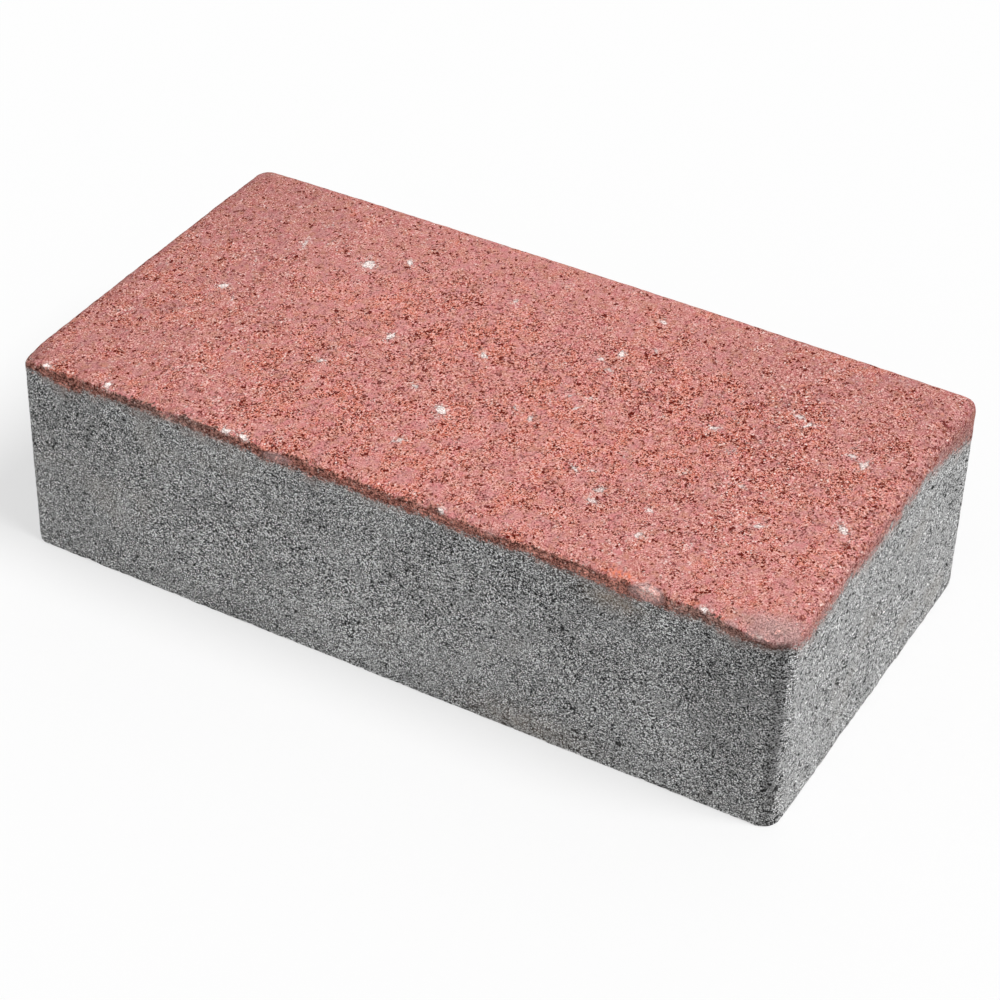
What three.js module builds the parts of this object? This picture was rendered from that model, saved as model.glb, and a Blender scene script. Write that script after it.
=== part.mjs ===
// A rectangular concrete paving stone, pressed in one mould from two mixes.
// The body is grey backing concrete, and a thin layer of red facing mix covers it and forms the
// wearing face. The two mixes meet at a seam that wanders up and down round the four sides.
// Millimetres, +Z up, the bed face on z = 0 and the origin in the middle of the bed.

import * as THREE from "three";
import { mergeVertices } from "three/addons/utils/BufferGeometryUtils.js";

// Overall sizes
const stoneLength = 220;
const stoneWidth = 115;
const stoneHeight = 60;

// Vertical arrises: the plan radius of the mould's corners
const cornerRadius = 5;

// Upper arris: how far it runs in over the wearing face and how far it drops down the sides,
// and the plan radius that the wearing face keeps at its corners
const arrisRun = 4;
const arrisDrop = 2.6;
const faceCornerRadius = 3;

// Crown of the wearing face: how much lower its ends and its sides lie than its middle
const crownAlong = 0.7;
const crownAcross = 0.2;

// Facing layer: how much red mix shows on the sides under the arris. The mix was spread thinner
// at the front left corner and thicker at the back right one.
const seamBandThin = 0.5;
const seamBandThick = 4.6;

// The seam's waves round the sides: their lengths, and how far in from the sides they die out
const seamWaveLong = 110;
const seamWaveMedium = 83;
const seamWaveShort = 51;
const seamFade = 18;

// Facets: pitch of the points along the straight sides, and steps round a corner and an arris
const facetPitch = 6;
const cornerSteps = 6;
const arrisSteps = 4;

// Steps of the wearing face from its edge to its middle
const faceSteps = 4;

const halfLength = stoneLength / 2;
const halfWidth = stoneWidth / 2;
const lengthSteps = Math.ceil((stoneLength - 2 * cornerRadius) / facetPitch);
const widthSteps = Math.ceil((stoneWidth - 2 * cornerRadius) / facetPitch);

// The four corners, anticlockwise from the front right: side signs, first angle and the steps
// of the straight that follows
const corners = [
  { x: 1, y: -1, turn: -Math.PI / 2, steps: widthSteps },
  { x: 1, y: 1, turn: 0, steps: lengthSteps },
  { x: -1, y: 1, turn: Math.PI / 2, steps: widthSteps },
  { x: -1, y: -1, turn: Math.PI, steps: lengthSteps },
];

// The plan outline, moved in by an inset: a rectangle with rounded corners. Every inset gives
// the same count of points in the same order, so rings join point to point.
function outline(inset) {
  const radius = Math.max(cornerRadius - inset, faceCornerRadius);
  const reachX = halfLength - inset - radius;
  const reachY = halfWidth - inset - radius;
  const points = [];
  corners.forEach((corner, index) => {
    const centre = new THREE.Vector2(corner.x * reachX, corner.y * reachY);
    for (let step = 0; step <= cornerSteps; step += 1) {
      const angle = corner.turn + (step / cornerSteps) * (Math.PI / 2);
      const spoke = new THREE.Vector2(Math.cos(angle), Math.sin(angle));
      points.push(centre.clone().addScaledVector(spoke, radius));
    }
    const next = corners[(index + 1) % corners.length];
    const start = points[points.length - 1];
    const spoke = new THREE.Vector2(Math.cos(next.turn), Math.sin(next.turn));
    const end = new THREE.Vector2(next.x * reachX, next.y * reachY);
    end.addScaledVector(spoke, radius);
    for (let step = 1; step < corner.steps; step += 1) {
      points.push(start.clone().lerp(end, step / corner.steps));
    }
  });
  return points;
}

// Height of the crowned wearing face over a plan point
function faceHeight(point) {
  const along = point.x / halfLength;
  const across = point.y / halfWidth;
  return stoneHeight - crownAlong * along * along - crownAcross * across * across;
}

// Lift an outline into space
function lift(points, heightAt) {
  return points.map((point, index) => {
    return new THREE.Vector3(point.x, point.y, heightAt(point, index));
  });
}

// Shrink an outline towards the middle of the stone
function shrink(points, share) {
  return points.map((point) => point.clone().multiplyScalar(share));
}

// Triangles between each ring and the next. Rings run anticlockwise seen from above, and go
// from the middle of an underside outwards, up the sides and in to the middle of the top.
function skin(rings) {
  const triangles = [];
  for (let row = 1; row < rings.length; row += 1) {
    const lower = rings[row - 1];
    const upper = rings[row];
    for (let i = 0; i < lower.length; i += 1) {
      const j = (i + 1) % lower.length;
      if (lower[i].distanceTo(lower[j]) > 0) {
        triangles.push([lower[i], lower[j], upper[j]]);
      }
      if (upper[i].distanceTo(upper[j]) > 0) {
        triangles.push([lower[i], upper[j], upper[i]]);
      }
    }
  }
  return triangles;
}

function turnOver(triangles) {
  return triangles.map(([a, b, c]) => [a, c, b]);
}

function solid(name, triangles, material) {
  const geometry = new THREE.BufferGeometry().setFromPoints(triangles.flat());
  const merged = mergeVertices(geometry, 1e-5);
  merged.computeVertexNormals();
  const mesh = new THREE.Mesh(merged, material);
  mesh.name = name;
  return mesh;
}

// Plan rings: the full outline, the turns of the upper arris and the steps of the wearing face
const edge = outline(0);
const arrisRings = [];
for (let step = 0; step <= arrisSteps; step += 1) {
  const angle = (step / arrisSteps) * (Math.PI / 2);
  const sunk = arrisDrop * (1 - Math.sin(angle));
  const ring = outline(arrisRun * (1 - Math.cos(angle)));
  arrisRings.push(lift(ring, (point) => faceHeight(point) - sunk));
}
const faceEdge = outline(arrisRun);
const faceRings = [];
for (let step = 1; step <= faceSteps; step += 1) {
  faceRings.push(lift(shrink(faceEdge, 1 - step / faceSteps), faceHeight));
}

// Distance round the outline at each of its points, as a share of the whole way round
const travel = [0];
for (let i = 1; i <= edge.length; i += 1) {
  const next = edge[i % edge.length];
  travel.push(travel[i - 1] + next.distanceTo(edge[i - 1]));
}
const perimeter = travel[edge.length];

// The band of red under the arris leans evenly from its thin corner to its thick one
function leaningBand(point) {
  const along = point.x / halfLength;
  const across = point.y / halfWidth;
  const lean = (2 + along + across) / 4;
  return THREE.MathUtils.lerp(seamBandThin, seamBandThick, lean);
}

// Three waves swell and thin the band. Each closes on itself round the stone, and together
// they never take the whole band away.
const seamWaves = [
  { length: seamWaveLong, share: 0.22, shift: -26 },
  { length: seamWaveMedium, share: 0.25, shift: -155 },
  { length: seamWaveShort, share: 0.27, shift: -74 },
];

function seamSwell(index) {
  const way = (2 * Math.PI * travel[index]) / perimeter;
  let swell = 0;
  for (const wave of seamWaves) {
    const count = Math.max(1, Math.round(perimeter / wave.length));
    swell += wave.share * Math.cos(count * way + THREE.MathUtils.degToRad(wave.shift));
  }
  return swell;
}

// The seam lies under the shoulder of the arris by the band. Inside the stone the waves die out.
function seamHeight(point, swell) {
  return faceHeight(point) - arrisDrop - leaningBand(point) * (1 + swell);
}

function seamRing(inset) {
  const strength = 1 - Math.min(inset / seamFade, 1);
  return lift(outline(inset), (point, index) => {
    return seamHeight(point, strength * seamSwell(index));
  });
}

const seamEdge = seamRing(0);
const seamInner = outline(seamFade);
const seamRings = [
  lift(shrink(seamInner, 0), (point) => seamHeight(point, 0)),
  lift(shrink(seamInner, 0.5), (point) => seamHeight(point, 0)),
  seamRing(seamFade),
  seamRing(seamFade / 2),
  seamEdge,
];
const seam = skin(seamRings);

// The bed face is flat and its edges are left sharp by the mould
const bedEdge = lift(edge, () => 0);
const bedCentre = lift(shrink(edge, 0), () => 0);

const backingConcrete = solid(
  "backing_concrete",
  [...skin([bedCentre, bedEdge, seamEdge]), ...turnOver(seam)],
  new THREE.MeshStandardMaterial({ color: 0x8c8c8b, roughness: 0.95, metalness: 0 }),
);

const facingLayer = solid(
  "facing_layer",
  [...seam, ...skin([seamEdge, ...arrisRings, ...faceRings])],
  new THREE.MeshStandardMaterial({ color: 0xbd786e, roughness: 0.92, metalness: 0 }),
);

const pavingStone = new THREE.Group();
pavingStone.name = "concrete_paving_stone";
pavingStone.add(backingConcrete, facingLayer);

export default pavingStone;
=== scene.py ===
# A concrete paving stone dressed for show: a grey backing under a red facing, with the grain,
# pores, pale stones and crumbled arrises of pressed concrete. Shapes are worked out in
# millimetres, as in the CAD, and go into the meshes in metres.

import math
import bpy
import numpy as np
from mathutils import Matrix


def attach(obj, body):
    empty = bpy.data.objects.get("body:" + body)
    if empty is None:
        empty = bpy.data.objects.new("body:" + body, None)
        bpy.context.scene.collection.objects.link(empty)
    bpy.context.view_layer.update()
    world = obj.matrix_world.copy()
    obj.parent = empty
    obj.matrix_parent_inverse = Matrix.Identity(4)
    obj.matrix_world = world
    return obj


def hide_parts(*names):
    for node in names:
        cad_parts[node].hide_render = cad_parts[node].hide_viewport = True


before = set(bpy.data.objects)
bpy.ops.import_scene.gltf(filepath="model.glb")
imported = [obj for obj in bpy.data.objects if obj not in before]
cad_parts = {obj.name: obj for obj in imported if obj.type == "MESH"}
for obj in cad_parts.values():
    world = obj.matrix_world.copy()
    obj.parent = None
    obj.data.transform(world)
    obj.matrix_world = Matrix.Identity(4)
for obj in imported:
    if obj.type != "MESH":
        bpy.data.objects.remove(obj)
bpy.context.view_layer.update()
print("frame loaded:", ", ".join(sorted(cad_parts)))

scene = bpy.context.scene
scene.view_settings.view_transform = "Standard"


class Wire:
    # An output socket. + - * / on it, with numbers or other wires, add Math nodes.
    def __init__(self, tree, socket):
        self.tree = tree
        self.socket = socket

    def math(self, operation, first, second):
        return self.tree.add("ShaderNodeMath", {"operation": operation}, {0: first, 1: second})

    def __add__(self, other):
        return self.math("ADD", self, other)

    def __sub__(self, other):
        return self.math("SUBTRACT", self, other)

    def __rsub__(self, other):
        return self.math("SUBTRACT", other, self)

    def __mul__(self, other):
        return self.math("MULTIPLY", self, other)

    __radd__ = __add__
    __rmul__ = __mul__

    def most(self, other):
        return self.math("MAXIMUM", self, other)

    # 0 below low, 1 above high and a smooth step between; low above high turns it round
    def step(self, low, high):
        return self.tree.add(
            "ShaderNodeMapRange",
            {"interpolation_type": "SMOOTHSTEP"},
            {"Value": self, "From Min": low, "From Max": high},
        )


class Tree:
    # The nodes of one material or world
    def __init__(self, holder):
        holder.use_nodes = True
        self.nodes = holder.node_tree.nodes
        self.links = holder.node_tree.links
        self.nodes.clear()

    def add(self, kind, settings=None, inputs=None, output=0):
        node = self.nodes.new(kind)
        for name, value in (settings or {}).items():
            setattr(node, name, value)
        for name, value in (inputs or {}).items():
            if isinstance(value, Wire):
                self.links.new(value.socket, node.inputs[name])
            else:
                node.inputs[name].default_value = value
        return Wire(self, node.outputs[output]) if len(node.outputs) else node

    # A colour between two others
    def blend(self, share, first, second):
        colours = [c if isinstance(c, Wire) else (*c, 1) for c in (first, second)]
        return self.add(
            "ShaderNodeMix", {"data_type": "RGBA"}, {0: share, 6: colours[0], 7: colours[1]}, 2
        )

    # A colour made lighter or darker
    def dim(self, colour, factor):
        return self.add(
            "ShaderNodeVectorMath", {"operation": "SCALE"}, {0: colour, "Scale": factor}
        )

    # Object coordinates, moved by a shift. The filling box strokes the mix from front to back and
    # the press packs it down, so grains and pores are a little longer that way and flatter.
    def place(self, shift):
        spot = self.add("ShaderNodeTexCoord", output="Object")
        inputs = {0: spot, 1: (1, 0.85, 1.25), 2: (shift,) * 3}
        return self.add("ShaderNodeVectorMath", {"operation": "MULTIPLY_ADD"}, inputs)

    # Noise about 0, with lumps of a size in millimetres
    def noise(self, size, detail=1.0, shift=0.0):
        inputs = {"Vector": self.place(shift), "Scale": 1000 / size, "Detail": detail}
        return self.add("ShaderNodeTexNoise", None, inputs) - 0.5

    # Cells of a size in millimetres: three random numbers for each, and the distance from its
    # middle as a share of the size
    def cells(self, size, shift=0.0):
        inputs = {"Vector": self.place(shift), "Scale": 1000 / size}
        away = self.add("ShaderNodeTexVoronoi", None, inputs)
        split = {"Color": Wire(self, away.socket.node.outputs["Color"])}
        numbers = [self.add("ShaderNodeSeparateColor", None, split, i) for i in range(3)]
        return (*numbers, away)

    def reading(self, name):
        return self.add("ShaderNodeAttribute", {"attribute_name": name}, None, "Fac")


# Camera and studio
view = {
    "place": (0.28827, -0.52641, 0.47117),  # metres
    "turn": (53.0217, -1.4809, 29.6916),  # degrees
    "lens": 102.155,
    "sensor": 36,
    "nearest": 0.01,
}

studio = {
    "skyLight": 0.42,
    "keyPower": 2.25,
    "keySpread": 28,
    "keyTurn": (0, 35, 4),
    "floorReach": 4,
    "floorDrop": 0.0002,  # keeps the floor off the bed face
    "floorGrey": 0.45,  # what the stone is lit by
    "floorWhite": 0.97,  # what the camera sees, with a share of shade on it
    "floorShade": 0.42,
}

cameraData = bpy.data.cameras.new("camera")
cameraData.lens = view["lens"]
cameraData.sensor_width = view["sensor"]
cameraData.clip_start = view["nearest"]
camera = bpy.data.objects.new("camera", cameraData)
camera.location = view["place"]
camera.rotation_euler = [math.radians(a) for a in view["turn"]]
scene.collection.objects.link(camera)
scene.camera = camera

key = bpy.data.lights.new("key", "SUN")
key.energy = studio["keyPower"]
key.angle = math.radians(studio["keySpread"])
keyLamp = bpy.data.objects.new("key", key)
keyLamp.rotation_euler = [math.radians(a) for a in studio["keyTurn"]]
scene.collection.objects.link(keyLamp)

# The sky is white where it is seen and softer where it lights
world = bpy.data.worlds.new("studio")
scene.world = world
sky = Tree(world)
paths = [sky.add("ShaderNodeLightPath", output="Is " + ray) for ray in (
    "Camera Ray", "Glossy Ray", "Transmission Ray")]
seen = paths[0].most(paths[1]).most(paths[2])
strength = studio["skyLight"] + (1 - studio["skyLight"]) * seen
glow = sky.add("ShaderNodeBackground", None, {"Color": (1, 1, 1, 1), "Strength": strength})
sky.add("ShaderNodeOutputWorld", None, {"Surface": glow})

# The floor is a pale grey that the camera sees as near white, with the stone's shadow on it
floorMesh = bpy.data.meshes.new("floor")
floorCorners = [
    (x * studio["floorReach"], y * studio["floorReach"], 0)
    for x, y in ((-1, -1), (1, -1), (1, 1), (-1, 1))]
floorMesh.from_pydata(floorCorners, [], [(0, 1, 2, 3)])
floor = bpy.data.objects.new("floor", floorMesh)
floor.location = (0, 0, -studio["floorDrop"])
scene.collection.objects.link(floor)
floorPaint = bpy.data.materials.new("floorPaint")
paint = Tree(floorPaint)
seen = paint.add("ShaderNodeLightPath", output="Is Camera Ray").most(
    paint.add("ShaderNodeLightPath", output="Is Glossy Ray"))
plain = paint.add("ShaderNodeBsdfDiffuse", None, {"Color": (*[studio["floorGrey"]] * 3, 1)})
white = paint.add("ShaderNodeBsdfDiffuse", None, {"Color": (*[studio["floorWhite"]] * 3, 1)})
lit = paint.add("ShaderNodeEmission", None, {"Color": (1, 1, 1, 1), "Strength": 1.0})
shown = paint.add("ShaderNodeMixShader", None, {0: studio["floorShade"], 1: lit, 2: white})
both = paint.add("ShaderNodeMixShader", None, {0: seen, 1: plain, 2: shown})
paint.add("ShaderNodeOutputMaterial", None, {"Surface": both})
floorMesh.materials.append(floorPaint)
print("camera and studio set")


# Shape of the stone
mould = {
    "halfLength": 110.0,
    "halfWidth": 57.5,
    "height": 60.0,
    "cornerRadius": 5.0,
    "faceCornerRadius": 3.0,
    "arrisRun": 4.0,
    "arrisDrop": 2.6,
    "crownAlong": 0.7,
    "crownAcross": 0.2,
}

seam = {
    "thin": 0.5,
    "thick": 4.6,
    "waves": [(110, 0.22, -26), (83, 0.25, -155), (51, 0.27, -74)],  # length, share, shift
    "fade": 18.0,
    "meetFront": [  # height over the seam at which the colours meet, along the front
        (-112, 0.6), (-104, 0.6), (-100, 0.3), (-96, -1.1), (-91, -0.7), (-88, 0.6), (-80, 0.4),
        (-72, 0.2), (-56, 0), (-48, 0.2), (-43, 0.8), (-36, 0.6), (-32, 0.2), (-26, 0.8),
        (-20, 0.2), (-12, 0.6), (-4, 0.4), (8, 0.8), (14, 1.2), (20, 0.3), (28, 0), (36, 0),
        (40, 0.8), (45, 0.4), (52, 1.0), (60, 1.7), (65, 0.5), (68, 0.7), (73, 1.6), (80, 0.4),
        (85, 0.8), (92, -0.1), (96, -0.6), (100, 0.2), (104, 0.5), (107, 2.0), (112, 3.4)],
    "meetRight": [  # and along the right end
        (-57, 3.4), (-52, 2.6), (-48, 0.9), (-44, 1.0), (-40, 1.9), (-32, 1.4), (-24, 2.6),
        (-20, 1.6), (-16, 1.1), (-4, 1.3), (0, 2.4), (4, 0.5), (8, 2.4), (16, 0.7), (20, 2.1),
        (24, 1.6), (28, 0.4), (32, 0.9), (40, 1.3), (44, 0.3), (48, 1.4), (52, 0.3), (57, 0.4)],
}

# The relief is made of seeded random numbers on cubic lattices, which repeat after this many
# cubes each way. They are turned, so that they lie along no side of the stone.
latticeCount = 64
oblique = np.linalg.qr(np.random.default_rng(5).normal(size=(3, 3)))[0]


# 0 below low, 1 above high and 3s^2 - 2s^3 between
def smoothStep(value, low, high):
    share = np.clip((value - low) / (high - low), 0, 1)
    return share * share * (3 - 2 * share)


# Value noise from -1 to 1: random numbers on a lattice of the given size, blended by a smooth
# step along each axis
def lumps(points, size, seed):
    painted_corner_shade = np.random.default_rng(seed).uniform(-1, 1, [latticeCount] * 3)
    place = points @ oblique / size
    low = np.floor(place).astype(int)
    share = smoothStep(place - low, 0, 1)
    total = np.zeros(points.shape[:-1])
    for ends in np.ndindex(2, 2, 2):
        weight = np.where(ends, share, 1 - share).prod(-1)
        total += weight * painted_corner_shade[tuple(np.moveaxis((low + ends) % latticeCount, -1, 0))]
    return total


# Gap between packed stones: the distance to the second nearest of random centres, one to each
# cube of the given size, less the distance to the nearest
def packing(points, size, seed):
    centres = np.random.default_rng(seed).uniform(0, 1, [latticeCount] * 3 + [3])
    place = points @ oblique / size
    low = np.floor(place).astype(int)
    first = np.full(points.shape[:-1], 9.0)
    second = first.copy()
    for offset in np.ndindex(3, 3, 3):
        cube = low + offset - 1
        centre = cube + centres[tuple(np.moveaxis(cube % latticeCount, -1, 0))]
        away = np.linalg.norm(place - centre, axis=-1)
        second = np.minimum(second, np.maximum(first, away))
        first = np.minimum(first, away)
    return (second - first) * size


# Height of the crowned wearing face: the full height less a parabola each way
def faceHeight(x, y):
    along = x / mould["halfLength"]
    across = y / mould["halfWidth"]
    return mould["height"] - mould["crownAlong"] * along**2 - mould["crownAcross"] * across**2


# Way round the outline to a point on it, anticlockwise from the front right corner: the arcs
# turned through so far, and the straights between them
def wayRound(x, y):
    radius = mould["cornerRadius"]
    reachX = mould["halfLength"] - radius
    reachY = mould["halfWidth"] - radius
    boxX = np.clip(x, -reachX, reachX)
    boxY = np.clip(y, -reachY, reachY)
    turn = (np.arctan2(y - boxY, x - boxX) + math.pi / 2) % (2 * math.pi)
    turn = np.where(turn < 1e-6, 2 * math.pi, turn)
    right = (boxY + reachY) + (reachX - boxX)
    left = 2 * reachY + 2 * reachX + (reachY - boxY) + (boxX + reachX)
    return radius * turn + np.where(turn <= math.pi, right, left)


wayWhole = 2 * math.pi * mould["cornerRadius"] + 4 * (
    mould["halfLength"] + mould["halfWidth"] - 2 * mould["cornerRadius"])


# Red mix under the arris: a band that leans from thin to thick, swollen by three closed waves
def bandDepth(x, y, way, strength=1.0):
    lean = (2 + x / mould["halfLength"] + y / mould["halfWidth"]) / 4
    swell = 0
    for length, share, shift in seam["waves"]:
        count = round(wayWhole / length)
        swell = swell + share * np.cos(count * 2 * math.pi * way / wayWhole + math.radians(shift))
    return (seam["thin"] + (seam["thick"] - seam["thin"]) * lean) * (1 + strength * swell)


# Height over the seam at which the colours meet: half a millimetre, and the two tables where the
# outline faces forwards or to the right
def meeting(x, y, spokeX, spokeY):
    front = smoothStep(-spokeY, 0.5, 0.9)
    right = smoothStep(spokeX, 0.5, 0.9)
    height = 0.5 * (1 - front) * (1 - right)
    height = height + front * np.interp(x, *np.array(seam["meetFront"]).T)
    return height + (1 - front) * right * np.interp(y, *np.array(seam["meetRight"]).T)


# How much darker the grey mix is on the front: from 0 to 1 over its right and left ends, less on
# its lower part, and 0.3 less round x = -15
def frontDarkening(x, z, spokeY):
    right = smoothStep(x, 76, 98) - 0.5 * smoothStep(z, 46, 8)
    left = 0.5 * smoothStep(-x, 50, 95)
    return (right + left - 0.3 * np.exp(-((x + 15) / 20) ** 2)) * smoothStep(-spokeY, 0.6, 0.95)


# Painted shade on the front right corner: what is left of the colour where the part of the curve
# that still looks forwards is kept dark until the light reaches it, a row of shares against the
# sideways part of its direction
def paintedCornerShade(spokeX, spokeY):
    turned = (0, 0.09, 0.17, 0.34, 0.5, 0.66, 0.76, 0.84, 0.91)
    left = (1, 0.92, 0.80, 0.62, 0.52, 0.52, 0.66, 0.92, 1)
    return np.where(spokeY < 0, np.interp(spokeX, turned, left), 1)


# Darkness of the dirt and painted shade under the arris: full right of x = 80 and 20 either side of
# x = -64
def murkiness(x):
    return np.clip(smoothStep(x, 74, 84) + np.exp(-((x + 64) / 20) ** 4), 0, 1)


# Places worn or chipped more than the rest: centre, reach along each axis, depth, and how pale
chips = [
    ((72.5, -57.5, 57.6), (5.0, 3.5, 2.8), 0.25, 1.0),
    ((105, -55.5, 59.0), (12.0, 7.5, 4.4), 0.2, 0.5),
    ((94.5, -57.5, 57.8), (4.0, 1.6, 1.2), 0.1, 0.5),
    ((101, -57.5, 57.0), (4.0, 1.6, 1.5), 0.2, 0.9),
    ((-31, -57.5, 57.2), (5.0, 1.6, 1.8), 0.2, 0.7),
    ((-62, -57.5, 58.2), (4.0, 2.2, 2.0), 0.5, 0.2),
    ((14, -57.5, 58.6), (5.0, 2.2, 2.0), 0.5, 0.1),
    ((30, -57.5, 58.4), (3.0, 2.2, 2.2), 0.5, 0.3),
    ((58, -57.5, 58.2), (4.0, 2.2, 2.4), 0.5, 0.1),
    ((-109.5, 20, 56.5), (2.0, 6.0, 2.2), 0.5, 0.3),
    ((-109.5, -54.5, 59.5), (6.0, 9.0, 4.0), 1.0, 0.0),
    ((-40, 57.5, 55.6), (5.0, 2.0, 2.0), 0.4, 0.3),
    ((64, 57.5, 55.4), (4.0, 2.0, 2.2), 0.4, 0.5),
    ((110, 31, 57.0), (2.0, 4.0, 2.0), 0.4, 0.2),
]


# Depth and paleness of the chips: each a smooth bowl, 1 - r^2 squared, with r the distance
# from its centre as a share of its reach
def chipped(points):
    depth = np.zeros(points.shape[:-1])
    pale = depth.copy()
    ragged = 1 + 0.35 * lumps(points, 2.2, 31)
    for centre, reach, deep, paleness in chips:
        share = (((points - centre) / np.array(reach)) ** 2).sum(-1) * ragged
        bowl = np.clip(1 - share, 0, 1) ** 2
        depth += deep * bowl
        pale = np.maximum(pale, paleness * np.sqrt(bowl))
    return depth, pale


# Pale stones that show in the wearing face: centre, half length, half width, turn, whiteness
paleStones = [
    (-56, 27, 1.9, 1.7, 124, 1), (-4.5, -21.5, 1.8, 1.3, 137, 0.9), (-32.5, 0, 1.8, 0.9, 85, 0.8),
    (96, 13.5, 1.6, 0.9, 85, 0.6), (102.5, -13, 2.2, 0.9, 134, 0.8), (-7, -38, 1.4, 1, 52, 0.6),
    (-83.5, -2, 1.2, 1, 41, 0.9), (-76.5, 27, 2.2, 0.6, 111, 0.4), (-41, -56.3, 1.7, 0.9, 156, 1),
    (-7.5, 5.5, 1.3, 0.7, 133, 0.8), (22.5, 25, 1.3, 0.8, 115, 0.9), (73.5, 24, 1.4, 0.7, 172, 0.7),
    (57.5, 8, 1.4, 0.7, 42, 0.6), (23.5, 16.5, 1.4, 0.6, 151, 0.8), (46, -35, 1.4, 0.7, 160, 0.5),
    (-82.5, -55.6, 1.5, 0.8, 125, 1), (-47, 34, 1.2, 0.7, 138, 0.9), (25, 44, 1.3, 0.6, 155, 0.6),
    (45.5, -30, 1.5, 0.8, 53, 0.5), (-42, -18.5, 1.1, 0.7, 30, 0.8), (-46, -56.4, 1.2, 1, 152, 1),
    (61.5, -41, 1.2, 0.9, 54, 0.5), (77, 21.5, 1.5, 0.6, 63, 0.7), (36, -25.5, 1.6, 0.5, 143, 0.5),
    (-15.5, -16, 1.1, 0.6, 144, 0.6), (92, 15.5, 1, 0.7, 149, 0.6), (87, -56.8, 1, 0.7, 4, 1),
    (-101, -56.5, 1.1, 0.8, 20, 1), (16, -56.7, 1, 0.7, 134, 0.9), (84.5, -22.5, 1.2, 0.5, 31, 0.6),
    (-78, -6, 1.4, 0.4, 116, 0.6), (59.5, -31, 0.8, 0.7, 146, 0.6), (-13, 32, 1, 0.5, 53, 0.5),
    (19, 20, 0.9, 0.6, 70, 0.9), (29.5, 31, 0.8, 0.5, 10, 0.7), (20, 1, 0.7, 0.5, 40, 0.8),
    (24, -3, 1.1, 0.4, 60, 0.6), (25, 3, 0.8, 0.5, 0, 0.6), (16.5, -13, 1.1, 0.6, 80, 0.5),
    (11, -11, 0.9, 0.5, 110, 0.6), (40, -24, 1, 0.6, 20, 0.5), (74, -10.5, 1.1, 0.4, 0, 0.6),
]


# Distance to the nearest pale stone, as a share of its own half width that way, and the
# whiteness of that stone. Past farOff no stone has any effect.
farOff = 3.0


def stoneDistance(x, y):
    nearest = np.full(x.shape, farOff)
    white = np.zeros(x.shape)
    for middleX, middleY, long, wide, turn, whiteness in paleStones:
        cosine, sine = math.cos(math.radians(turn)), math.sin(math.radians(turn))
        along = (x - middleX) * cosine + (y - middleY) * sine
        across = (y - middleY) * cosine - (x - middleX) * sine
        away = np.hypot(along / long, across / wide)
        white = np.where(away < nearest, whiteness, white)
        nearest = np.minimum(nearest, away)
    return nearest, white


# A mesh object from points in millimetres, index arrays of its faces, and one number per point
# for each reading that its material takes
def makePiece(name, points, faceSets, readings, sharpLoop=None):
    mesh = bpy.data.meshes.new(name)
    mesh.vertices.add(len(points))
    mesh.vertices.foreach_set("co", (points / 1000).astype(np.float32).ravel())
    corners = np.concatenate([faces.ravel() for faces in faceSets]).astype(np.int32)
    sizes = np.concatenate([np.full(len(faces), faces.shape[1]) for faces in faceSets])
    mesh.loops.add(len(corners))
    mesh.loops.foreach_set("vertex_index", corners)
    mesh.polygons.add(len(sizes))
    starts = np.concatenate([[0], np.cumsum(sizes)[:-1]]).astype(np.int32)
    mesh.polygons.foreach_set("loop_start", starts)
    mesh.update(calc_edges=True)
    mesh.validate()
    mesh.polygons.foreach_set("use_smooth", np.ones(len(sizes), bool))
    if sharpLoop is not None:
        ends = np.zeros(len(mesh.edges) * 2, np.int32)
        mesh.edges.foreach_get("vertices", ends)
        sharp = np.isin(ends.reshape(-1, 2), sharpLoop).all(1)
        mesh.attributes.new("sharp_edge", "BOOLEAN", "EDGE").data.foreach_set("value", sharp)
    for label, values in readings.items():
        layer = mesh.attributes.new(label, "FLOAT", "POINT")
        layer.data.foreach_set("value", values.astype(np.float32).ravel())
    mesh.update()
    piece = bpy.data.objects.new(name, mesh)
    scene.collection.objects.link(piece)
    print(name, "made,", int((sizes - 2).sum()), "triangles")
    return piece


# Four-cornered faces between two closed rings of points, facing away from the side on which
# the lower ring runs to the left
def ringFaces(lower, upper):
    return np.stack([lower, np.roll(lower, -1), np.roll(upper, -1), upper], axis=1)


# All relief stays at least this far inside the mould's own faces
leastDepth = 0.02

# Red facing layer
facing = {
    "pitch": 0.6,
    "flatSteps": 5,
    "arrisSteps": 13,
    "arrisLength": 5.25,  # of cloth over the arris
    "bandSteps": 10,
    "bandLength": 3.0,  # of cloth from the arris to the seam
    "skin": 0.12,  # mean depth of the surface inside the mould's own faces
    "swell": (26, 0.06),  # size and depth of each scale of relief
    "dish": (8, 0.05),
    "lump": (2.6, 0.06),
    "tooth": (1.3, 0.05),
    "poreDepth": 0.38,
    "crumble": 0.30,
    "kneeShare": 0.66,  # how far along the arris the knee lies
    "kneeInset": 0.18,
    "kneeDrop": 0.45,
    "kneeLowest": 2.25,
    "kneeHighest": 0.2,
    "kneeWander": ((11, 0.15), (3.4, 0.35), (1.5, 0.50)),  # size and depth of its ups and downs
    "kneeFront": [  # worn more along the front: place along it, and how much lower there
        (-112, 0.6), (-105, 0), (-68, 0), (-64, 0.4), (-59, 0), (-51, 0), (-48, 0.4), (-44, 0),
        (-36, 0), (-32, 1.5), (-28, 0), (-23, 0), (-18, 0.4), (-12, 1.0), (-8, 0), (-1, 0.2),
        (18, 0), (28, 0.8), (36, 0.7), (40, 0.1), (58, 0.2), (70, 0.5), (79, 0.4), (84, 0.8),
        (87, 0.3), (92, 1.2), (98, 1.8), (104, 1.7), (107, 0.9), (112, 0.6)],
}

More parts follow.
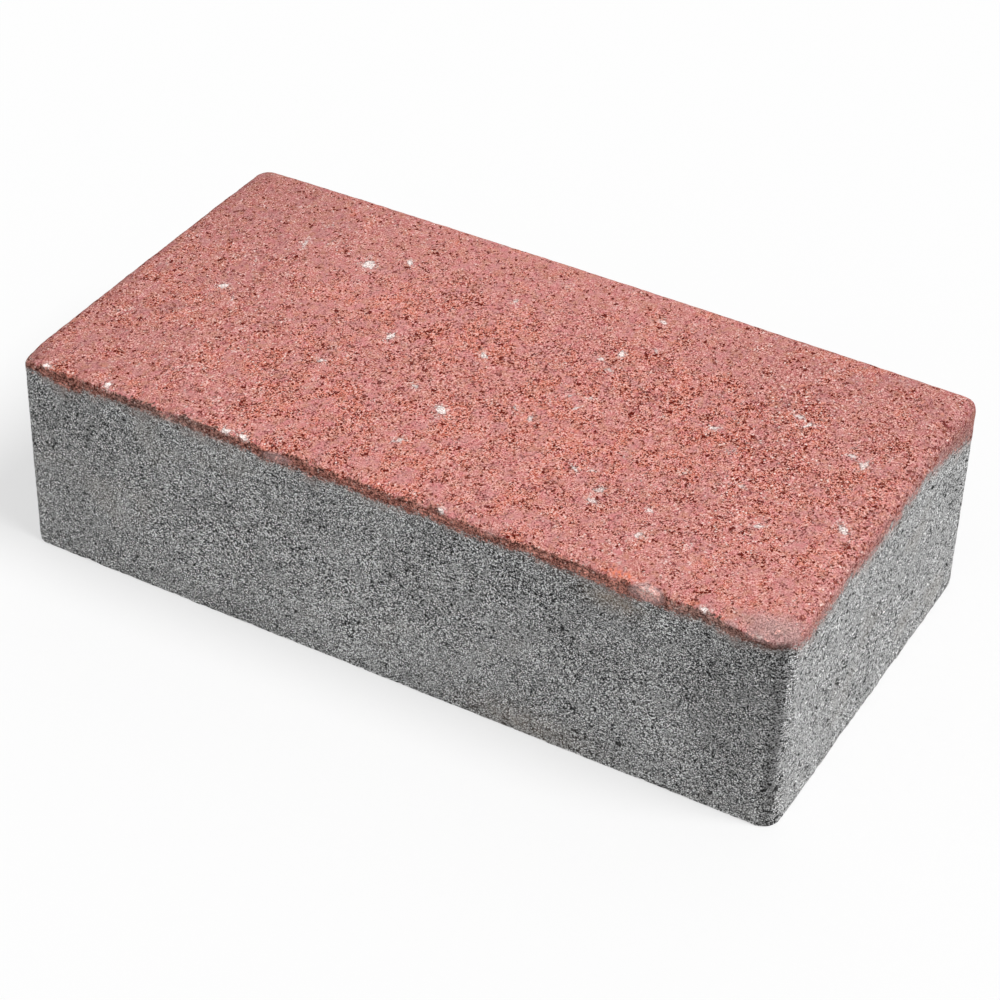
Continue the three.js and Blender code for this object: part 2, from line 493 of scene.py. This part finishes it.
flatLength = mould["faceCornerRadius"]
arrisLength = facing["arrisLength"]
bandLength = facing["bandLength"]
faceReachX = mould["halfLength"] - mould["arrisRun"] - flatLength
faceReachY = mould["halfWidth"] - mould["arrisRun"] - flatLength
hemRows = np.concatenate([
    flatLength * np.arange(1, facing["flatSteps"] + 1) / facing["flatSteps"],
    flatLength + arrisLength * np.arange(1, facing["arrisSteps"] + 1) / facing["arrisSteps"],
    flatLength + arrisLength
    + bandLength * np.arange(1, facing["bandSteps"] + 1) / facing["bandSteps"],
])


# Places of the cloth's threads along one axis: even over the face, then the hem's rows
def threads(reach):
    inner = np.linspace(-reach, reach, round(2 * reach / facing["pitch"]) + 1)
    return np.concatenate([-(reach + hemRows[::-1]), inner, reach + hemRows])


# The facing is a cloth laid over the stone. Its flat part is the wearing face, and its hem goes
# over the arris and down the band to the seam. At a corner the hem's square patch is pressed
# into a quarter circle: the angle is a right angle's half times the smaller overhang over the
# larger, from either side.
clothX, clothY = np.meshgrid(threads(faceReachX), threads(faceReachY), indexing="ij")
overX = np.maximum(np.abs(clothX) - faceReachX, 0)
overY = np.maximum(np.abs(clothY) - faceReachY, 0)
over = np.maximum(overX, overY)
angle = math.pi / 4 * np.minimum(overX, overY) / np.maximum(over, 1e-9)
angle = np.where(overX >= overY, angle, math.pi / 2 - angle)
spokeX = np.cos(angle) * np.sign(clothX)
spokeY = np.sin(angle) * np.sign(clothY)
insideX = np.clip(clothX, -faceReachX, faceReachX)
insideY = np.clip(clothY, -faceReachY, faceReachY)

# The outline straight out from each point, and the way round to it
outlineX = insideX / faceReachX * (mould["halfLength"] - mould["cornerRadius"])
outlineX = outlineX + spokeX * mould["cornerRadius"]
outlineY = insideY / faceReachY * (mould["halfWidth"] - mould["cornerRadius"])
outlineY = outlineY + spokeY * mould["cornerRadius"]
way = wayRound(outlineX, outlineY)
outlinePoints = np.stack([outlineX, outlineY, np.zeros_like(outlineX)], -1)

# Arris: a quarter ellipse, pulled by a share towards two straights that meet at a knee. The
# knee wanders. It is crisp along the front but for its left end, softer on the right end, and
# gone at the back and the left.
arrisShare = np.clip((over - flatLength) / arrisLength, 0, 1)
lean = (1 - arrisShare) * math.pi / 2
roundInset = mould["arrisRun"] * (1 - np.cos(lean))
roundDrop = mould["arrisDrop"] * (1 - np.sin(lean))
wander = sum(
    depth * lumps(outlinePoints, size, 41 + i)
    for i, (size, depth) in enumerate(facing["kneeWander"]))
restless = 0.12 + 0.88 * smoothStep(-spokeY, 0, 0.7)
lower = np.interp(outlineX, *np.array(facing["kneeFront"]).T) * smoothStep(-spokeY, 0.5, 0.9)
kneeDrop = facing["kneeDrop"] + lower + restless * wander
kneeDrop = np.clip(kneeDrop, facing["kneeHighest"], facing["kneeLowest"])
kneeInset = facing["kneeInset"]
kneeShare = facing["kneeShare"]
firstLeg = np.clip(arrisShare / kneeShare, 0, 1)
secondLeg = np.clip((arrisShare - kneeShare) / (1 - kneeShare), 0, 1)
kneeInsets = mould["arrisRun"] + (kneeInset - mould["arrisRun"]) * firstLeg - kneeInset * secondLeg
kneeDrops = kneeDrop * firstLeg + (mould["arrisDrop"] - kneeDrop) * secondLeg
crispness = 0.35 * np.clip(spokeX, 0, 1) ** 2
crispness += 0.95 * np.clip(-spokeY, 0, 1) * (1 - 0.95 * smoothStep(-spokeX, 0, 0.5))
inset = roundInset + crispness * (kneeInsets - roundInset)
drop = roundDrop + crispness * (kneeDrops - roundDrop)

flat = over <= flatLength
radius = np.maximum(mould["cornerRadius"] - inset, mould["faceCornerRadius"])
reachX = np.where(flat, faceReachX, mould["halfLength"] - inset - radius)
reachY = np.where(flat, faceReachY, mould["halfWidth"] - inset - radius)
radius = np.where(flat, over, radius)
placeX = insideX / faceReachX * reachX + spokeX * radius
placeY = insideY / faceReachY * reachY + spokeY * radius
bandShare = np.clip((over - flatLength - arrisLength) / bandLength, 0, 1)
band = bandDepth(placeX, placeY, way)
placeZ = faceHeight(placeX, placeY) - drop - band * bandShare
facingBase = np.stack([placeX, placeY, placeZ], -1)

# Direction of the surface: up on the face, the ellipse's normal on the arris, level below it
upward = np.sin(lean) / mould["arrisDrop"]
outward = np.cos(lean) / mould["arrisRun"]
steep = np.hypot(upward, outward)
facingNormal = np.stack([spokeX * outward, spokeY * outward, upward], -1) / steep[..., None]

# Relief: every scale is cut inwards from the mould's faces. Pores crowd by slow lumps, a bell
# over the worst part of the face and one taken away over the fairest, and thin out to the left
# and the back. They are cracks between packed stones and single holes.
rim = smoothStep(over + 0.7 * lumps(facingBase, 3.0, 51), 2.2, 4.2)
worst = np.exp(-((placeX - 72) / 40) ** 2 - ((placeY - 10) / 24) ** 2)
crowded = 0.5 * lumps(facingBase, 5.0, 52) + 0.15 * lumps(facingBase, 30.0, 53) - 0.15
crowded += 0.3 * smoothStep(placeX, -95, -20) + 0.3 * worst - 0.5 * smoothStep(placeY, 15, 57)
fairest = np.exp(-((placeX - 85) / 38) ** 2 - ((placeY + 50) / 20) ** 2)
crowded -= 0.5 * fairest
density = 0.25 + 0.75 * smoothStep(crowded, -0.6, 0.9)
gap = packing(facingBase, 2.9, 54)
crack = smoothStep(gap, 0.30, 0.0) * smoothStep(lumps(facingBase, 1.7, 55), 0.35, 0.65)
hole = smoothStep(lumps(facingBase, 1.15, 56), 0.56, 0.84)
pore = np.clip(np.maximum(crack, hole) * density * 1.2, 0, 1)

# Where the colours change: the right end's arris; dirt and painted shade, in millimetres down from
# a line on the arris, reaching higher at the back and much less on the lit right end; how light the
# red mix is, with painted shade in places; two bells of bright rust on the front; a dark line half
# way over the right end's arris; and where the grain is calm
rightward = np.clip(spokeX, 0, 1) ** 2 * smoothStep(over, 0, flatLength + 1)
# Dirt and painted shade under the arris, from the line down
grimeAndShade = (arrisShare - 0.64 + 0.05 * smoothStep(spokeY, 0, 0.8)) * arrisLength - 4 * rightward
grimeAndShade -= 0.8 * np.exp(-((placeX - 101) / 5) ** 2) * smoothStep(-spokeY, 0.5, 0.9)
# How light the red mix is: darker to the left, to the back and over the right back part of the
# face, with painted shade on the left end's arris
washAndShade = 1.12 - 0.22 * smoothStep(-placeX, 35, 104) - 0.1 * smoothStep(-placeX, 101, 107)
washAndShade -= 0.02 * fairest + 0.07 * smoothStep(placeY, 15, 50)
washAndShade -= 0.12 * smoothStep(placeX, 20, 80) * smoothStep(placeY, 5, 45)
# Painted shade on the band by the front right corner
nearCornerShade = smoothStep(placeX, 95, 101) * smoothStep(-spokeY, 0.2, 0.7)
washAndShade -= 0.5 * nearCornerShade * smoothStep(arrisShare, 0.75, 0.92)
# Painted shade on the right end's arris, more towards the back
washAndShade -= rightward * (0.13 + 0.14 * smoothStep(placeY, 0, 30)) * smoothStep(arrisShare, 0.1, 0.8)
blush = np.exp(-((placeX - 65) / 5) ** 2 - ((placeY + 56) / 1.6) ** 2)
blush += 0.6 * np.exp(-((placeX - 84) / 2) ** 2 - ((placeY + 56.5) / 1.4) ** 2)
crevice = np.exp(-(((arrisShare - 0.55) / 0.10) ** 2)) * rightward
calm = np.clip(0.5 - placeX / 160, 0, 1) * 0.5 + 0.5 * smoothStep(placeY, 30, 57)
calm = np.maximum(calm, 0.5 * fairest)

# Depth under the mould's faces: the skin, every scale of relief, pores, chips, and the crumbling
# of the arris, a bell over its steep part
chipDepth, chipPale = chipped(facingBase)
arrisWeight = np.exp(-(((arrisShare - 0.75) / 0.28) ** 2)) * (over > flatLength) * restless
crumble = arrisWeight * (0.5 + 0.5 * np.abs(spokeY)) * smoothStep(
    lumps(facingBase, 1.9, 57) + 0.5 * lumps(facingBase, 6.0, 58), -0.1, 0.9)
facingDepth = facing["skin"] + sum(
    depth * lumps(facingBase, size, 60 + i)
    for i, (size, depth) in enumerate(facing[k] for k in ("swell", "dish", "lump", "tooth")))
facingDepth = facingDepth + facing["poreDepth"] * pore + facing["crumble"] * crumble + chipDepth
facingDepth = np.maximum(facingDepth, leastDepth)
facingPoints = facingBase - facingNormal * facingDepth[..., None]

countX, countY = clothX.shape
index = np.arange(countX * countY).reshape(countX, countY)
border = np.concatenate([index[:, 0], index[-1, 1:], index[-2::-1, -1], index[0, -2:0:-1]])
cloth = np.stack([index[:-1, :-1], index[1:, :-1], index[1:, 1:], index[:-1, 1:]], -1)

# Seam inside the stone: two rings in from the border, where the waves die out, and a middle
borderBase = facingBase.reshape(-1, 3)[border]
borderPoints = facingPoints.reshape(-1, 3)[border]
borderWay = way.ravel()[border]
borderSpoke = np.stack([spokeX.ravel()[border], spokeY.ravel()[border]], -1)


def seamRing(depthIn):
    share = 1 - depthIn / np.array([mould["halfLength"], mould["halfWidth"]])
    x, y = (borderPoints[:, :2] * share).T
    fade = 1 - min(depthIn / seam["fade"], 1)
    z = faceHeight(x, y) - mould["arrisDrop"] - bandDepth(x, y, borderWay, fade)
    return np.stack([x, y, z], -1)


seamMiddle = [[0, 0, mould["height"] - mould["arrisDrop"] - (seam["thin"] + seam["thick"]) / 2]]
seamInside = np.concatenate([seamRing(seam["fade"] / 2), seamRing(seam["fade"]), seamMiddle])


# Faces of the seam seen from above, from a border ring and the first index of the points inside
def seamFaces(edge, first):
    near = first + np.arange(len(edge))
    far = near + len(edge)
    middle = np.full(len(edge), first + 2 * len(edge))
    return [ringFaces(edge, near), ringFaces(near, far), ringFaces(far, middle)[:, :3]]


aboveSeam = np.where(bandShare > 0, band * (1 - bandShare), band + 6 * (1 - arrisShare))
aboveSeam = aboveSeam - meeting(outlineX, outlineY, spokeX, spokeY)
stoneNear, stoneWhite = stoneDistance(placeX, placeY)
stoneNear = np.minimum(stoneNear + farOff * smoothStep(arrisShare, 0.74, 0.92), farOff)
facingReadings = {
    "pore": pore.ravel(),
    "rim": rim.ravel(),
    "pale": chipPale.ravel(),
    "stone": stoneNear.ravel(),
    "white": stoneWhite.ravel(),
    "seam": aboveSeam.ravel(),
    # painted shade on the front right corner, over the lower arris and the band
    "painted_corner_shade": (1 - smoothStep(arrisShare, 0.75, 0.95) * (
        1 - paintedCornerShade(spokeX, spokeY))).ravel(),
    "crowd": density.ravel(),
    "grimeAndShade": grimeAndShade.ravel(),
    "soft": rightward.ravel(),
    "crevice": crevice.ravel(),
    "calm": calm.ravel(),
    "washAndShade": washAndShade.ravel(),
    "frontDark": frontDarkening(placeX, placeZ, spokeY).ravel(),
    "murk": murkiness(placeX).ravel(),
    "rust": blush.ravel(),
}
facingReadings = {
    label: np.concatenate([values, np.full(len(seamInside), values[border].mean())])
    for label, values in facingReadings.items()
}
underFaces = [faces[:, ::-1] for faces in seamFaces(border, countX * countY)]
facingPiece = makePiece(
    "red_facing",
    np.concatenate([facingPoints.reshape(-1, 3), seamInside]),
    [cloth.reshape(-1, 4), *underFaces],
    facingReadings,
)


# Grey backing
backing = {
    "rows": 70,
    "evenTo": 0.975,  # share of the way down that has even rows
    "lastRows": (0.985, 0.993, 0.998, 1.0),
    "skin": 0.12,
    "swell": (30, 0.06),
    "dish": (9, 0.05),
    "lump": (2.4, 0.06),
    "tooth": (1.2, 0.05),
    "poreDepth": 0.35,
    "bedWear": 0.35,  # at the lower edge, gone by wearHeight above it
    "wearHeight": 1.3,
    "join": 1.6,  # depth under the seam in which the facing's own relief dies out
}

# The sides are the border of the facing carried straight down to the bed
shares = np.concatenate([np.linspace(0, backing["evenTo"], backing["rows"]), backing["lastRows"]])
sideZ = borderBase[:, 2] * (1 - shares[:, None])
sideBase = np.stack([
    np.broadcast_to(borderBase[:, 0], sideZ.shape),
    np.broadcast_to(borderBase[:, 1], sideZ.shape),
    sideZ,
], -1)
sideCrowd = smoothStep(
    lumps(sideBase, 9.0, 72) + 0.35 * lumps(sideBase, 40.0, 73), -0.5, 0.7)
sidePore = smoothStep(lumps(sideBase, 1.15, 71), 0.46, 0.72) * sideCrowd
sideChip, sidePale = chipped(sideBase)
sideDepth = backing["skin"] + sum(
    depth * lumps(sideBase, size, 80 + i)
    for i, (size, depth) in enumerate(backing[k] for k in ("swell", "dish", "lump", "tooth")))
sideDepth = sideDepth + backing["poreDepth"] * sidePore + sideChip
sideDepth = sideDepth + backing["bedWear"] * smoothStep(sideZ, backing["wearHeight"], 0) * (
    0.5 + 0.5 * lumps(sideBase, 2.5, 85))
borderDepth = facingDepth.ravel()[border]
joined = np.exp(-((sideBase[0, :, 2] - sideZ) / backing["join"]) ** 2)
sideDepth = np.maximum(sideDepth + (borderDepth - sideDepth[0]) * joined, leastDepth)
sidePoints = sideBase.copy()
sidePoints[..., :2] -= borderSpoke * sideDepth[..., None]
sidePoints[0] = borderPoints

rows, columns = sideZ.shape
sideIndex = np.arange(rows * columns).reshape(rows, columns)
sideFaces = np.concatenate([
    ringFaces(sideIndex[row + 1], sideIndex[row]) for row in range(rows - 1)])
bedMiddle = rows * columns + len(seamInside)
bedFaces = ringFaces(np.full(columns, bedMiddle), sideIndex[-1])[:, 1:]
onFront = smoothStep(-borderSpoke[:, 1], 0.6, 0.95)
rust = np.exp(-((sideBase[..., 0] - 64) / 7) ** 2 - ((sideZ - 52) / 3.0) ** 2) * onFront
rust += 0.5 * np.exp(-((sideBase[..., 0] - 42) / 16) ** 2 - ((sideZ - 3) / 5.0) ** 2) * onFront
sidePale = np.maximum(sidePale, 0.35 * onFront * np.exp(
    -((sideBase[..., 0] - 15) / 9) ** 2 - ((sideZ - 13) / 6.0) ** 2))
sideReadings = {
    "pore": sidePore,
    "rim": np.zeros_like(sideZ),
    "pale": sidePale,
    "stone": np.full_like(sideZ, farOff),
    "seam": sideZ - sideBase[0, :, 2] - meeting(
        sideBase[..., 0], sideBase[..., 1], borderSpoke[:, 0], borderSpoke[:, 1]),
    # painted shade on the front right corner
    "painted_corner_shade": np.broadcast_to(paintedCornerShade(*borderSpoke.T), sideZ.shape),
    "crowd": sideCrowd,
    "grimeAndShade": np.broadcast_to(grimeAndShade.ravel()[border], sideZ.shape),
    "soft": np.broadcast_to(rightward.ravel()[border], sideZ.shape),
    "crevice": np.zeros_like(sideZ),
    "calm": np.zeros_like(sideZ),
    "washAndShade": np.broadcast_to(washAndShade.ravel()[border], sideZ.shape),
    "white": np.zeros_like(sideZ),
    "frontDark": frontDarkening(sideBase[..., 0], sideZ, borderSpoke[:, 1]),
    "murk": murkiness(sideBase[..., 0]),
    "rust": rust,
}
sideReadings = {
    label: np.concatenate([
        values.ravel(), np.full(len(seamInside), values[0].mean()), [values[-1].mean()]])
    for label, values in sideReadings.items()
}
backingPiece = makePiece(
    "grey_backing",
    np.concatenate([sidePoints.reshape(-1, 3), seamInside, [[0, 0, 0]]]),
    [sideFaces, bedFaces, *seamFaces(sideIndex[0], rows * columns)],
    sideReadings,
    sharpLoop=sideIndex[-1],
)


# What both mixes are made of: the sizes of their noises and cells in millimetres, the depth of
# the finest relief in metres, and their gloss
mixture = {
    "fine": 0.33,
    "redGrain": 0.36,
    "greyGrain": 0.34,
    "pore": 0.8,
    "coarse": 0.9,
    "pit": 1.5,
    "broken": 1.7,
    "hue": 2.2,
    "medium": 2.4,
    "patch": 5.5,
    "broad": 20,
    "relief": 0.001,
    "gloss": 0.08,
}

# Finish of the red mix: how far its grains go towards light and deep, and the colours of its
# ground and grains, its stones, its worn places, and its dirt and painted shade
redMix = {
    "roughness": 0.9,
    "lightShare": 0.65,
    "deepShare": 0.42,
    "body": (0.600, 0.235, 0.208),
    "light": (0.97, 0.555, 0.505),
    "deep": (0.30, 0.043, 0.028),
    "rust": (0.68, 0.205, 0.140),
    "mauve": (0.585, 0.250, 0.240),
    "tan": (0.57, 0.250, 0.180),
    "rose": (0.63, 0.217, 0.220),
    "ring": (0.84, 0.310, 0.210),
    # painted shade inside the pores and cracks
    "pore": (0.135, 0.009, 0.004),
    "blush": (0.92, 0.26, 0.15),
    "glint": (1.0, 0.76, 0.70),
    "stone": (1.0, 0.86, 0.82),
    "halo": (0.76, 0.46, 0.43),
    "worn": (1.0, 0.56, 0.50),
    "beige": (0.51, 0.34, 0.325),
    # colour of the dirt and painted shade under the arris
    "grimeAndShade": (0.41, 0.175, 0.137),
    "murk": (0.27, 0.165, 0.140),
    "dust": (0.46, 0.27, 0.25),
}

# Finish of the grey mix: the contrast of its grains, how much of the finest of it the right end
# loses, the contrast of the coarser ones there, its colours, and the stain of the red above it
greyMix = {
    "roughness": 0.93,
    "contrast": 1.01,
    "softer": 0.4,
    "coarser": 1.7,
    "body": (0.408, 0.408, 0.408),
    # painted shade inside the pores
    "poreShade": (0.02, 0.02, 0.02),
    "light": (0.90, 0.90, 0.89),
    "glint": (1.0, 1.0, 0.98),
    "brown": (0.42, 0.38, 0.34),
    "rust": (0.44, 0.34, 0.26),
    "pink": (0.43, 0.33, 0.30),
}


# Both mixes on one set of nodes, so that the colours run into each other at the seam
def concrete(name, roughness):
    material = bpy.data.materials.new(name)
    tree = Tree(material)
    fine = tree.noise(mixture["fine"], 0.0)
    coarse = tree.noise(mixture["coarse"], 0.0, 0.3)
    broken = tree.noise(mixture["broken"], 0.0, 1.1)
    medium = tree.noise(mixture["medium"], 1.0, 0.5)
    patch = tree.noise(mixture["patch"], 1.0, 0.7)
    broad = tree.noise(mixture["broad"], 2.0, 0.9)
    tone, salt, odd, _ = tree.cells(mixture["redGrain"])
    bead, size, spark, away = tree.cells(mixture["pore"], 0.4)
    pit = tree.reading("pore") + coarse * 0.5 + fine * 0.5
    rimmed = tree.reading("rim")
    crowd = tree.reading("crowd")
    pale = tree.reading("pale")
    soft = tree.reading("soft")
    frontDark = tree.reading("frontDark")
    aboveSeam = tree.reading("seam")
    calm = tree.reading("calm")
    strength = 0.58 - 0.21 * calm + 0.41 * soft.most(crowd)
    strength = strength * (1 + 1.5 * medium - 0.5 * patch)

    # Share of red: all above the seam, feathered and ragged on it grain by grain, widest on the
    # right end, with a stain below and dust above
    height = aboveSeam + coarse * 2.0 + medium * 2.5 + patch * (1 + soft)
    mixed = height + 1.5 * pale + (tone - 0.5) * (1 + soft) + (size - 0.5) * 2.4 * soft
    share = mixed.step(-1.0 - 0.3 * soft, 0.5 + 0.3 * soft)
    stain = (aboveSeam + medium * 5 + patch * 7).step(-3.5 - 2 * soft, 1.0) * 0.5
    dusty = (height * (1 - 0.3 * soft)).step(4.5, 0.3) * soft

    # Pores, later painted dark as the shade inside them: specks in some small cells, larger ones in
    # a few big cells, and short dashes where the coarse noise crosses 0 in others
    reach = away + fine * 0.6 + coarse * 0.4 - 0.33 - 0.14 * size - 0.1 * calm.most(soft)
    speck = (bead - 0.95 + crowd * (0.16 + 0.5 * medium)).step(0.0, 0.01)
    dots = speck * reach.step(0.03, -0.03)
    ring = speck * reach.step(0.40, 0.05)
    hollow, wide, _, far = tree.cells(mixture["pit"], 0.9)
    reachFar = far + fine * 0.6 + coarse * 1.2 - 0.22 - 0.18 * wide - 0.14 * soft
    pits = (hollow - 0.98 + 0.09 * crowd + 0.06 * soft).step(0.0, 0.01)
    pits = pits * reachFar.step(0.02, -0.02)
    dashes = (crowd * (0.56 + 1.1 * medium) - size).step(0.0, 0.01)
    dashes = dashes * (coarse * coarse).step(0.0022, 0.0007)

    # Red mix: light and deep grains on a ground that drifts from rust to mauve, tan and rose, with
    # bright rings round the pores
    smooth = (patch.step(0.02, 0.18) * 0.9).most(pale * 0.8).most(rimmed * soft * 0.85)
    grain = (tone - 0.5) * (odd * odd * 4.2 + 0.8) + fine * 8
    grain = grain + coarse * (0.2 + 0.6 * crowd.most(soft))
    grain = (grain + medium * 0.25 + broad * 0.3 - 0.02) * strength * (0.95 - 0.5 * smooth)
    warm = (medium * 0.9 + 0.05 - patch * 0.8 + broad + crowd * 0.6).step(0.25, 0.70)
    hue = tree.noise(mixture["hue"], 1.0, 2.3)
    red = tree.blend(warm, redMix["body"], redMix["rust"])
    red = tree.blend(smooth, red, redMix["mauve"])
    red = tree.blend(hue.step(0.02, 0.18) * 0.75, red, redMix["tan"])
    red = tree.blend(hue.step(-0.02, -0.18) * 0.75, red, redMix["rose"])
    red = tree.blend(dusty * 0.6, red, redMix["dust"])
    # Lightness of the red mix, with painted shade on parts of the arris and band
    red = tree.dim(red, tree.reading("washAndShade"))
    red = tree.blend(grain * redMix["lightShare"], red, redMix["light"])
    red = tree.blend(0 - grain * redMix["deepShare"], red, redMix["deep"])
    red = tree.blend(ring.most(pit.step(0.1, 0.6)) * 0.5, red, redMix["ring"])
    # Tiny pores painted dark: painted shade inside them
    flecks = (salt - 0.03 - 0.12 * crowd).step(0.01, 0.0)
    red = tree.blend(flecks * strength, red, redMix["pore"])
    glints = spark.step(0.925, 0.93) * away.step(0.40, 0.28)
    red = tree.blend(glints * strength, red, redMix["glint"])
    split = (tree.reading("crevice") * (0.6 + broken * 2.0 + coarse)).step(0.72, 0.85)
    # Pores and cracks painted dark: painted shade inside them
    holes = dots.most(pits).most(dashes * 0.9).most(pit.step(0.72, 0.9)).most(split * 0.5)
    holes = holes * (1 - 0.3 * smooth)
    red = tree.blend(holes * 0.97, red, redMix["pore"])
    red = tree.blend(tree.reading("rust") * (0.5 + coarse * 3), red, redMix["blush"])

    # Dark dirt and painted shade under the arris, pale stones broken open with pale crumbs round
    # them and painted shadow round their edges, and worn pale places
    dirtAndShade = tree.reading("grimeAndShade") + coarse * 3.2 + broken * 2.6 + fine * 0.8 - 4 * pale
    dirtAndShade = dirtAndShade.step(-0.15, 0.2)
    ground = tree.blend(tree.reading("murk") * 0.8, redMix["grimeAndShade"], redMix["murk"])
    rough = (tone - 0.5) * (odd * 1.4 + 0.8) + fine * 3 - coarse * 2 - broken
    ground = tree.dim(ground, (1.08 + rough).most(0.1) * tree.reading("washAndShade"))
    ground = tree.blend(glints * 0.8, ground, redMix["glint"])
    ground = tree.blend(holes * 0.7, ground, redMix["pore"])
    red = tree.blend(dirtAndShade * 0.94, red, ground)
    stone = tree.reading("stone")
    white = tree.reading("white")
    crumbs = (stone + broken * 3).step(2.8, 1.4) * odd.step(0.80, 0.84)
    ragged = stone + coarse * 1.4 + broken * 0.8
    red = tree.blend(ragged.step(2.0, 1.0) * 0.2, red, redMix["halo"])
    red = tree.blend(crumbs * 0.8, red, redMix["glint"])
    # Painted shadow round the edges of the pale stones
    red = tree.blend(ragged.step(1.35, 1.1) * odd.step(0.5, 0.55) * 0.6, red, redMix["pore"])
    chunk = (ragged + fine).step(1.0, 0.85)
    red = tree.blend(chunk * (0.42 + 0.55 * white), red, tree.dim(redMix["stone"], 1 + fine * 2))
    crumb = odd.step(0.80, 0.84).most(spark.step(0.78, 0.80) * away.step(0.38, 0.28))
    sprinkled = tree.noise(mixture["patch"], 1.0, 1.9).step(0.13, 0.22) * crumb
    red = tree.blend(sprinkled * 0.6 * (1 - soft), red, redMix["glint"])
    worn = tree.blend((pale + coarse).step(0.6, 0.8), redMix["beige"], redMix["worn"])
    red = tree.blend(pale.step(0.0, 0.55) * 0.75, red, tree.dim(worn, 1 + fine * 2))
    red = tree.blend(pale.step(0.6, 0.9) * odd.step(0.6, 0.7), red, redMix["glint"])

    # Grey mix: salt and pepper grains, coarser and softer on the right end, a few light ones and
    # glints, pores painted dark as the shade inside them, and brown stains
    pepper, light, third, _ = tree.cells(mixture["greyGrain"], 0.2)
    rolling = medium * 0.5 + patch * 0.6 + broad * 0.8
    speckle = (pepper - 0.5) * (third * third * 4.6 + 0.85) + fine * 8.5
    speckle = speckle * (1 - greyMix["softer"] * soft)
    speckle = speckle + coarse * (0.1 + greyMix["coarser"] * soft)
    even = (0.4 + 0.3 * soft) * patch.step(0.0, 0.2)
    speckle = speckle * (greyMix["contrast"] + 0.12 * soft - even + medium)
    speckle = speckle + rolling * (1.1 - 0.8 * soft) + 0.19 * soft
    grey = tree.dim(greyMix["body"], (0.99 + speckle).most(0.06) * (1 - 0.18 * frontDark))
    grey = tree.blend(light.step(0.94, 0.96) * (0.85 - 0.7 * soft), grey, greyMix["light"])
    grey = tree.blend(spark.step(0.955, 0.96) * away.step(0.42, 0.34), grey, greyMix["glint"])
    pinholes = (third - 0.045 - 0.03 * soft).step(0.01, 0.0)
    pocks = (bead - 0.965 + 0.17 * soft).step(0.0, 0.01) * reach.step(0.03, -0.03)
    pocks = pocks.most(pits).most(pit.step(0.6, 0.9))
    # Pinholes and pocks painted dark: painted shade inside them
    grey = tree.blend(pinholes * 0.9, grey, greyMix["poreShade"])
    grey = tree.blend(pocks * 0.9, grey, greyMix["poreShade"])
    grey = tree.blend(broad.step(0.08, 0.25) * 0.25, grey, greyMix["brown"])
    grey = tree.blend(tree.reading("rust") * (0.5 + medium), grey, greyMix["rust"])
    grey = tree.blend(pale * 0.3, grey, greyMix["light"])
    grey = tree.blend(stain, grey, greyMix["pink"])
    # The colour is dimmed by the painted shade on the front right corner
    colour = tree.dim(tree.blend(share, grey, red), tree.reading("painted_corner_shade"))

    relief = fine * 0.05 + (tone - 0.5) * 0.04 + coarse * 0.08
    relief = relief - 0.30 * holes * share - 0.3 * pocks * (1 - share)
    bump = tree.add("ShaderNodeBump", None, {
        "Strength": 1.0, "Distance": mixture["relief"], "Height": relief})
    surface = tree.add("ShaderNodeBsdfPrincipled", None, {
        "Base Color": colour,
        "Roughness": roughness + fine * 0.2 - 0.08 * smooth * share,
        "Specular IOR Level": mixture["gloss"],
        "Normal": bump,
    })
    tree.add("ShaderNodeOutputMaterial", None, {"Surface": surface})
    return material


for piece, node, slotName, finish, mix in (
    (facingPiece, "facing_layer", "red_facing", "redConcrete", redMix),
    (backingPiece, "backing_concrete", "grey_concrete", "greyConcrete", greyMix),
):
    piece.data.materials.append(concrete(finish, mix["roughness"]))
    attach(piece, "root")
    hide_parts(node)
print("finishes applied")
